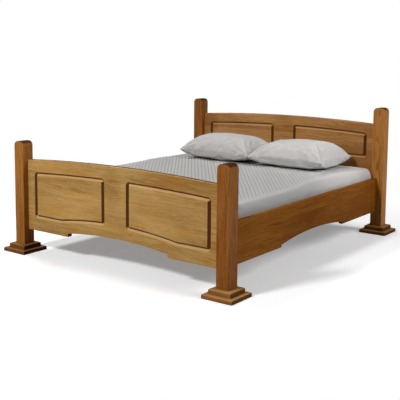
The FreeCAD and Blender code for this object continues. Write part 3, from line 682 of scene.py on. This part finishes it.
# Each filled pillow: the simulation's seed, volume and bending, and the form that it was shaken into:
# length, width, rise over the seam, how blunt its ends, its shoulders and its long sides are,
# how far the crown sits off the middle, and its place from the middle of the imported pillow
PILLOWS = {
    "left_pillow": dict(seed=18, volume=0.0375, bending=0.25, size=(0.670, 0.466), rise=0.138,
                        ends=(3.5, 0.56), sides=0.47, lean=-0.03, shift=(0.020, 0.031)),
    "right_pillow": dict(seed=23, volume=0.0370, bending=0.30, size=(0.653, 0.505), rise=0.138,
                         ends=(3.4, 0.56), sides=0.48, lean=0.14, shift=(-0.047, -0.008)),
}


def pillow_form(rest, upper, size, rise, ends, sides, lean):
    """Plump form of a pillow over its flat case, with tips left sharp."""
    s, t = rest[:, 0] / (PILLOW_CUT[0] / 2), rest[:, 1] / (PILLOW_CUT[1] / 2)
    along = (1 - np.abs(s - lean * (1 - s * s)) ** ends[0]).clip(0) ** ends[1]
    full = along * (1 - t * t).clip(0) ** sides
    z = np.where(upper, rise * full, np.maximum(-PILLOW_BELLY * full, -PILLOW_SAG))
    x = s * (size[0] / 2 - DRAW_IN * (1 - t * t))
    y = t * (size[1] / 2 - DRAW_IN * (1 - s * s))
    return np.column_stack([x, y, z])


def relaxed(values, edges, rounds):
    """Values at the vertices, averaged with their neighbours' a number of times."""
    count = len(values)
    degree = np.bincount(edges.ravel(), minlength=count)[:, None]
    for _ in range(rounds):
        sums = np.column_stack([np.bincount(edges[:, 0], column[edges[:, 1]], count)
                                + np.bincount(edges[:, 1], column[edges[:, 0]], count)
                                for column in values.T])
        values = 0.5 * values + 0.5 * sums / degree
    return values


def tip_folds(rest, seed):
    """Fine folds that run out from the four tips of a case."""
    rng = np.random.default_rng(seed)
    total = np.zeros(len(rest))
    for corner_x in (-1, 1):
        for corner_y in (-1, 1):
            away = rest[:, :2] - np.array([corner_x * PILLOW_CUT[0] / 2, corner_y * PILLOW_CUT[1] / 2])
            distance = np.linalg.norm(away, axis=1)
            angle = np.arctan2(away[:, 1], away[:, 0])
            fan = sum(np.sin(k * angle + 9.0 * distance + rng.uniform(0, 6.28)) for k in (17.0, 26.0, 37.0))
            total += fan * smoothstep(0.0, 0.05, distance) * np.exp(-(distance / TIP_FOLD_REACH) ** 2)
    return total


def make_pillow(node, seed, volume, bending, size, rise, ends, sides, lean, shift):
    low, high = (np.array(corner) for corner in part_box(node))
    nx, ny = PILLOW_GRID
    piece = pillow_mesh(node + "_case", *PILLOW_CUT, nx, ny, seed)
    rest = np.array([v.co for v in piece.data.vertices])
    edges = np.array([tuple(edge.vertices) for edge in piece.data.edges])
    form = pillow_form(rest, np.arange(len(rest)) < (nx + 1) * (ny + 1), size, rise, ends, sides, lean)
    co = inflate(piece, volume, bending)
    top, bottom = co.max(0), co.min(0)
    scale = (high - low) / (top - bottom) * (0.97, 0.97, 1.0)
    co = (co - (top + bottom) / 2) * scale + (0.0, 0.0, (high[2] - low[2]) / 2 - PILLOW_SAG)
    # the wrinkles stay as simulated; the large form follows the photograph
    co = co + relaxed(form - co, edges, RELAX_ROUNDS)
    piece.data.vertices.foreach_set("co", co.ravel())
    piece.data.update()
    normals = np.array([v.normal for v in piece.data.vertices])
    creases = smooth_noise(rest[:, :2] * (0.45, 1.0), 85.0, seed + 2, 2)
    co = co + normals * (TIP_FOLD_HEIGHT * tip_folds(rest, seed + 1) + CREASE_HEIGHT * creases)[:, None]
    co[:, 2] = np.maximum(co[:, 2], -PILLOW_SAG)
    middle = (low + high) / 2
    co = co + (middle[0] + shift[0], middle[1] + shift[1], low[2] + PILLOW_SAG)
    piece.data.vertices.foreach_set("co", co.ravel())
    piece.data.update()
    piece.data.materials.append(cotton(node + "_cotton", PILLOW_COLOUR))
    modifier = piece.modifiers.new("smooth", "SUBSURF")
    modifier.levels = modifier.render_levels = 1
    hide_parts(node)
    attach(piece, node)


for pillow_node, pillow_facts in PILLOWS.items():
    make_pillow(pillow_node, **pillow_facts)


# ---------------------------------------------------------------- stage and light
FLOOR_SIZE = 40.0
FLOOR_BOUNCE = (0.34, 0.34, 0.34, 1.0)
FLOOR_SHADE = (0.845, 0.85, 0.862, 1.0)
FLOOR_GLOW = 0.262
# the floor turns plain white between these distances from a box round the bed's feet
FLOOR_BOX = (0.85, 1.06, 0.0)
FLOOR_FADE = (0.05, 1.3)
WORLD_LIGHT = 0.07
# place, target, side of the square, power in watts, spread in degrees
LIGHTS = {
    "front": ((-0.9, -6.6, 5.3), (-0.1, -0.7, 0.4), 1.1, 460.0, 180.0),
    "left": ((-5.4, 0.6, 6.9), (-0.4, -0.2, 0.2), 2.2, 410.0, 180.0),
    "right": ((5.6, 1.4, 3.9), (0.6, -0.2, 0.3), 2.6, 222.0, 180.0),
    "pillow": ((3.3, -0.1, 2.3), (0.66, 0.60, 0.60), 0.5, 0.80, 18.0),
}


def make_floor():
    """Pale to the camera where the bed's shadow falls, white further out, and darker for bounced light."""
    corners = [(-1, -1), (1, -1), (1, 1), (-1, 1)]
    floor = new_object("floor", [(FLOOR_SIZE * x, FLOOR_SIZE * y, 0) for x, y in corners], [(0, 1, 2, 3)],
                       smooth=False)
    n = Nodes("floor_white")
    path = n.add("LightPath").outputs
    seen = n.math("MAXIMUM", n.math("MAXIMUM", path["Is Camera Ray"], path["Is Glossy Ray"]),
                  path["Is Transmission Ray"])
    plain = n.add("BsdfDiffuse", {"Color": FLOOR_BOUNCE}).outputs[0]
    shown = n.add("BsdfDiffuse", {"Color": FLOOR_SHADE}).outputs[0]
    glow = n.add("Emission", {"Color": (1, 1, 1, 1), "Strength": FLOOR_GLOW}).outputs[0]
    both = n.add("AddShader", {0: shown, 1: glow}).outputs[0]
    place = n.add("VectorMath", {0: n.add("TexCoord").outputs["Object"]}, operation="ABSOLUTE").outputs[0]
    place = n.add("VectorMath", {0: place, 1: FLOOR_BOX}, operation="SUBTRACT").outputs[0]
    place = n.add("VectorMath", {0: place, 1: (0.0, 0.0, 0.0)}, operation="MAXIMUM").outputs[0]
    reach = n.add("VectorMath", {0: place}, operation="LENGTH").outputs["Value"]
    far = n.span(reach, *FLOOR_FADE, kind="SMOOTHSTEP")
    white = n.add("Emission", {"Color": (1, 1, 1, 1), "Strength": 1.0}).outputs[0]
    both = n.add("MixShader", {0: far, 1: both, 2: white}).outputs[0]
    floor.data.materials.append(n.surface(n.add("MixShader", {0: seen, 1: plain, 2: both}).outputs[0]))


def make_world():
    world = bpy.data.worlds.new("studio")
    world.use_nodes = True
    tree = world.node_tree
    tree.nodes.clear()
    path = tree.nodes.new("ShaderNodeLightPath")
    light = tree.nodes.new("ShaderNodeBackground")
    light.inputs[0].default_value = (1, 1, 1, 1)
    light.inputs[1].default_value = WORLD_LIGHT
    white = tree.nodes.new("ShaderNodeBackground")
    white.inputs[0].default_value = (1, 1, 1, 1)
    white.inputs[1].default_value = 1.0
    mix = tree.nodes.new("ShaderNodeMixShader")
    out = tree.nodes.new("ShaderNodeOutputWorld")
    tree.links.new(path.outputs["Is Camera Ray"], mix.inputs[0])
    tree.links.new(light.outputs[0], mix.inputs[1])
    tree.links.new(white.outputs[0], mix.inputs[2])
    tree.links.new(mix.outputs[0], out.inputs[0])
    bpy.context.scene.world = world


def area_light(name, place, target, side, power, spread):
    data = bpy.data.lights.new(name, "AREA")
    data.shape = "SQUARE"
    data.size = side
    data.energy = power
    data.spread = math.radians(spread)
    lamp = bpy.data.objects.new(name, data)
    bpy.context.scene.collection.objects.link(lamp)
    forward = np.array(target, float) - np.array(place, float)
    forward /= np.linalg.norm(forward)
    right = np.cross(forward, (0, 0, 1.0))
    right /= np.linalg.norm(right)
    up = np.cross(right, forward)
    columns = zip(right, up, -forward, place)
    lamp.matrix_world = Matrix([list(row) for row in columns] + [[0, 0, 0, 1]])


make_floor()
make_world()
for light_name, light_facts in LIGHTS.items():
    area_light(light_name, *light_facts)

bpy.context.scene.view_settings.view_transform = "Standard"
